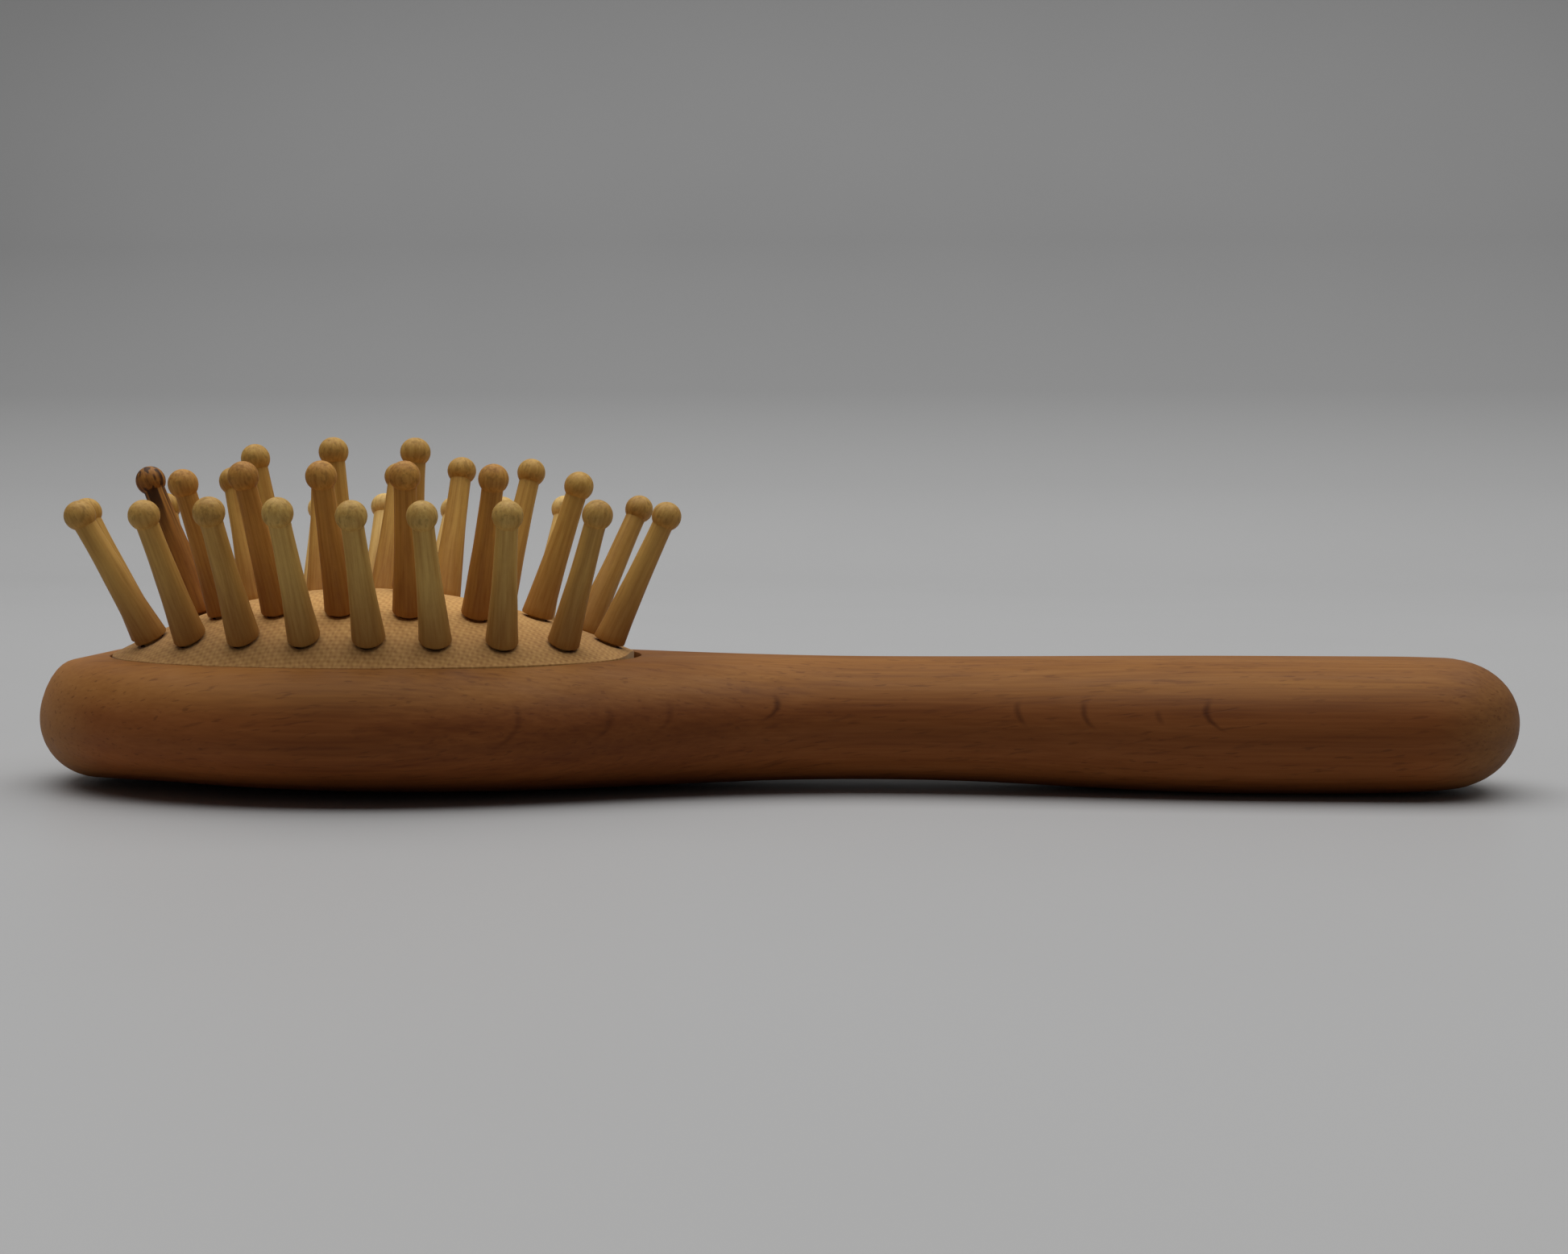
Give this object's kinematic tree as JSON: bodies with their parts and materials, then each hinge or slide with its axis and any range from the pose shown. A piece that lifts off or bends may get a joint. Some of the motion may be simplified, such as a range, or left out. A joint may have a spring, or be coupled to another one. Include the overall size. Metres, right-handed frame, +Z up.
{
  "type": "paddle brush",
  "caption": "Small oval wooden paddle hair brush with a domed air cushion, turned ball-tipped wooden pins and a waisted handle; lies on its back",
  "frame": {"origin": "centre of the bounding box in X and Y, on the surface that the brush lies on", "axes": "+X along the brush from the head to the butt of the handle, +Y across it, +Z up, the way the pins point"},
  "size_m": [0.1752, 0.0498, 0.0415],
  "materials": {
    "beech": "satin oiled beech, grain along the length",
    "rubber_skin": "matt, fine woven cloth texture",
    "pin_wood": "turned, smooth, unvarnished"
  },
  "bodies": {
    "handle": {"handle_body": "beech"},
    "cushion": {"cushion": "rubber_skin"},
    "centre_pin_1": {"centre_pin_1": "pin_wood"},
    "centre_pin_2": {"centre_pin_2": "pin_wood"},
    "centre_pin_3": {"centre_pin_3": "pin_wood"},
    "inner_pin_1": {"inner_pin_1": "pin_wood"},
    "inner_pin_2": {"inner_pin_2": "pin_wood"},
    "inner_pin_3": {"inner_pin_3": "pin_wood"},
    "inner_pin_4": {"inner_pin_4": "pin_wood"},
    "inner_pin_5": {"inner_pin_5": "pin_wood"},
    "inner_pin_6": {"inner_pin_6": "pin_wood"},
    "inner_pin_7": {"inner_pin_7": "pin_wood"},
    "inner_pin_8": {"inner_pin_8": "pin_wood"},
    "inner_pin_9": {"inner_pin_9": "pin_wood"},
    "inner_pin_10": {"inner_pin_10": "pin_wood"},
    "inner_pin_11": {"inner_pin_11": "pin_wood"},
    "inner_pin_12": {"inner_pin_12": "pin_wood"},
    "outer_pin_1": {"outer_pin_1": "pin_wood"},
    "outer_pin_2": {"outer_pin_2": "pin_wood"},
    "outer_pin_3": {"outer_pin_3": "pin_wood"},
    "outer_pin_4": {"outer_pin_4": "pin_wood"},
    "outer_pin_5": {"outer_pin_5": "pin_wood"},
    "outer_pin_6": {"outer_pin_6": "pin_wood"},
    "outer_pin_7": {"outer_pin_7": "pin_wood"},
    "outer_pin_8": {"outer_pin_8": "pin_wood"},
    "outer_pin_9": {"outer_pin_9": "pin_wood"},
    "outer_pin_10": {"outer_pin_10": "pin_wood"},
    "outer_pin_11": {"outer_pin_11": "pin_wood"},
    "outer_pin_12": {"outer_pin_12": "pin_wood"},
    "outer_pin_13": {"outer_pin_13": "pin_wood"},
    "outer_pin_14": {"outer_pin_14": "pin_wood"},
    "outer_pin_15": {"outer_pin_15": "pin_wood"},
    "outer_pin_16": {"outer_pin_16": "pin_wood"},
    "outer_pin_17": {"outer_pin_17": "pin_wood"},
    "outer_pin_18": {"outer_pin_18": "pin_wood"}
  },
  "joints": [
    {"name": "cushion_press", "type": "slide", "parent": "handle", "child": "cushion", "axis": [0, 0, -1], "range_m": [0, 0.002], "stiffness_N_per_m": 1500, "deforming": ["cushion"]},
    {"name": "centre_pin_1_rock", "type": "hinge", "parent": "cushion", "child": "centre_pin_1", "pos_m": [-0.05833, 0, 0.0216], "axis": [1, 0, 0], "range_deg": [-6, 6], "stiffness_Nm_per_rad": 0.05},
    {"name": "centre_pin_2_rock", "type": "hinge", "parent": "cushion", "child": "centre_pin_2", "pos_m": [-0.05084, 0, 0.02228], "axis": [1, 0, 0], "range_deg": [-6, 6], "stiffness_Nm_per_rad": 0.05},
    {"name": "centre_pin_3_rock", "type": "hinge", "parent": "cushion", "child": "centre_pin_3", "pos_m": [-0.04336, 0, 0.02203], "axis": [1, 0, 0], "range_deg": [-6, 6], "stiffness_Nm_per_rad": 0.05},
    {"name": "inner_pin_1_rock", "type": "hinge", "parent": "cushion", "child": "inner_pin_1", "pos_m": [-0.068, 0, 0.01923], "axis": [1, 0, 0], "range_deg": [-6, 6], "stiffness_Nm_per_rad": 0.05},
    {"name": "inner_pin_2_rock", "type": "hinge", "parent": "cushion", "child": "inner_pin_2", "pos_m": [-0.0636, -0.00575, 0.01967], "axis": [1, 0, 0], "range_deg": [-6, 6], "stiffness_Nm_per_rad": 0.05},
    {"name": "inner_pin_3_rock", "type": "hinge", "parent": "cushion", "child": "inner_pin_3", "pos_m": [-0.0564, -0.00832, 0.02013], "axis": [1, 0, 0], "range_deg": [-6, 6], "stiffness_Nm_per_rad": 0.05},
    {"name": "inner_pin_4_rock", "type": "hinge", "parent": "cushion", "child": "inner_pin_4", "pos_m": [-0.04874, -0.00916, 0.02025], "axis": [1, 0, 0], "range_deg": [-6, 6], "stiffness_Nm_per_rad": 0.05},
    {"name": "inner_pin_5_rock", "type": "hinge", "parent": "cushion", "child": "inner_pin_5", "pos_m": [-0.04104, -0.0086, 0.02003], "axis": [1, 0, 0], "range_deg": [-6, 6], "stiffness_Nm_per_rad": 0.05},
    {"name": "inner_pin_6_rock", "type": "hinge", "parent": "cushion", "child": "inner_pin_6", "pos_m": [-0.03368, -0.00642, 0.01953], "axis": [1, 0, 0], "range_deg": [-6, 6], "stiffness_Nm_per_rad": 0.05},
    {"name": "inner_pin_7_rock", "type": "hinge", "parent": "cushion", "child": "inner_pin_7", "pos_m": [-0.02798, 0, 0.01897], "axis": [1, 0, 0], "range_deg": [-6, 6], "stiffness_Nm_per_rad": 0.05},
    {"name": "inner_pin_8_rock", "type": "hinge", "parent": "cushion", "child": "inner_pin_8", "pos_m": [-0.03368, 0.00642, 0.01953], "axis": [1, 0, 0], "range_deg": [-6, 6], "stiffness_Nm_per_rad": 0.05},
    {"name": "inner_pin_9_rock", "type": "hinge", "parent": "cushion", "child": "inner_pin_9", "pos_m": [-0.04104, 0.0086, 0.02003], "axis": [1, 0, 0], "range_deg": [-6, 6], "stiffness_Nm_per_rad": 0.05},
    {"name": "inner_pin_10_rock", "type": "hinge", "parent": "cushion", "child": "inner_pin_10", "pos_m": [-0.04874, 0.00916, 0.02025], "axis": [1, 0, 0], "range_deg": [-6, 6], "stiffness_Nm_per_rad": 0.05},
    {"name": "inner_pin_11_rock", "type": "hinge", "parent": "cushion", "child": "inner_pin_11", "pos_m": [-0.0564, 0.00832, 0.02013], "axis": [1, 0, 0], "range_deg": [-6, 6], "stiffness_Nm_per_rad": 0.05},
    {"name": "inner_pin_12_rock", "type": "hinge", "parent": "cushion", "child": "inner_pin_12", "pos_m": [-0.0636, 0.00575, 0.01967], "axis": [1, 0, 0], "range_deg": [-6, 6], "stiffness_Nm_per_rad": 0.05},
    {"name": "outer_pin_1_rock", "type": "hinge", "parent": "cushion", "child": "outer_pin_1", "pos_m": [-0.07491, 0, 0.01641], "axis": [1, 0, 0], "range_deg": [-6, 6], "stiffness_Nm_per_rad": 0.05},
    {"name": "outer_pin_2_rock", "type": "hinge", "parent": "cushion", "child": "outer_pin_2", "pos_m": [-0.07196, -0.00639, 0.01665], "axis": [1, 0, 0], "range_deg": [-6, 6], "stiffness_Nm_per_rad": 0.05},
    {"name": "outer_pin_3_rock", "type": "hinge", "parent": "cushion", "child": "outer_pin_3", "pos_m": [-0.06596, -0.01044, 0.01705], "axis": [1, 0, 0], "range_deg": [-6, 6], "stiffness_Nm_per_rad": 0.05},
    {"name": "outer_pin_4_rock", "type": "hinge", "parent": "cushion", "child": "outer_pin_4", "pos_m": [-0.059, -0.0128, 0.01734], "axis": [1, 0, 0], "range_deg": [-6, 6], "stiffness_Nm_per_rad": 0.05},
    {"name": "outer_pin_5_rock", "type": "hinge", "parent": "cushion", "child": "outer_pin_5", "pos_m": [-0.05167, -0.01395, 0.01746], "axis": [1, 0, 0], "range_deg": [-6, 6], "stiffness_Nm_per_rad": 0.05},
    {"name": "outer_pin_6_rock", "type": "hinge", "parent": "cushion", "child": "outer_pin_6", "pos_m": [-0.04422, -0.01405, 0.01739], "axis": [1, 0, 0], "range_deg": [-6, 6], "stiffness_Nm_per_rad": 0.05},
    {"name": "outer_pin_7_rock", "type": "hinge", "parent": "cushion", "child": "outer_pin_7", "pos_m": [-0.03685, -0.01312, 0.01714], "axis": [1, 0, 0], "range_deg": [-6, 6], "stiffness_Nm_per_rad": 0.05},
    {"name": "outer_pin_8_rock", "type": "hinge", "parent": "cushion", "child": "outer_pin_8", "pos_m": [-0.02979, -0.01103, 0.01676], "axis": [1, 0, 0], "range_deg": [-6, 6], "stiffness_Nm_per_rad": 0.05},
    {"name": "outer_pin_9_rock", "type": "hinge", "parent": "cushion", "child": "outer_pin_9", "pos_m": [-0.02351, -0.00737, 0.01632], "axis": [1, 0, 0], "range_deg": [-6, 6], "stiffness_Nm_per_rad": 0.05},
    {"name": "outer_pin_10_rock", "type": "hinge", "parent": "cushion", "child": "outer_pin_10", "pos_m": [-0.01949, 0, 0.01601], "axis": [1, 0, 0], "range_deg": [-6, 6], "stiffness_Nm_per_rad": 0.05},
    {"name": "outer_pin_11_rock", "type": "hinge", "parent": "cushion", "child": "outer_pin_11", "pos_m": [-0.02351, 0.00737, 0.01632], "axis": [1, 0, 0], "range_deg": [-6, 6], "stiffness_Nm_per_rad": 0.05},
    {"name": "outer_pin_12_rock", "type": "hinge", "parent": "cushion", "child": "outer_pin_12", "pos_m": [-0.02979, 0.01103, 0.01676], "axis": [1, 0, 0], "range_deg": [-6, 6], "stiffness_Nm_per_rad": 0.05},
    {"name": "outer_pin_13_rock", "type": "hinge", "parent": "cushion", "child": "outer_pin_13", "pos_m": [-0.03685, 0.01312, 0.01714], "axis": [1, 0, 0], "range_deg": [-6, 6], "stiffness_Nm_per_rad": 0.05},
    {"name": "outer_pin_14_rock", "type": "hinge", "parent": "cushion", "child": "outer_pin_14", "pos_m": [-0.04422, 0.01405, 0.01739], "axis": [1, 0, 0], "range_deg": [-6, 6], "stiffness_Nm_per_rad": 0.05},
    {"name": "outer_pin_15_rock", "type": "hinge", "parent": "cushion", "child": "outer_pin_15", "pos_m": [-0.05167, 0.01395, 0.01746], "axis": [1, 0, 0], "range_deg": [-6, 6], "stiffness_Nm_per_rad": 0.05},
    {"name": "outer_pin_16_rock", "type": "hinge", "parent": "cushion", "child": "outer_pin_16", "pos_m": [-0.059, 0.0128, 0.01734], "axis": [1, 0, 0], "range_deg": [-6, 6], "stiffness_Nm_per_rad": 0.05},
    {"name": "outer_pin_17_rock", "type": "hinge", "parent": "cushion", "child": "outer_pin_17", "pos_m": [-0.06596, 0.01044, 0.01705], "axis": [1, 0, 0], "range_deg": [-6, 6], "stiffness_Nm_per_rad": 0.05},
    {"name": "outer_pin_18_rock", "type": "hinge", "parent": "cushion", "child": "outer_pin_18", "pos_m": [-0.07196, 0.00639, 0.01665], "axis": [1, 0, 0], "range_deg": [-6, 6], "stiffness_Nm_per_rad": 0.05}
  ]
}
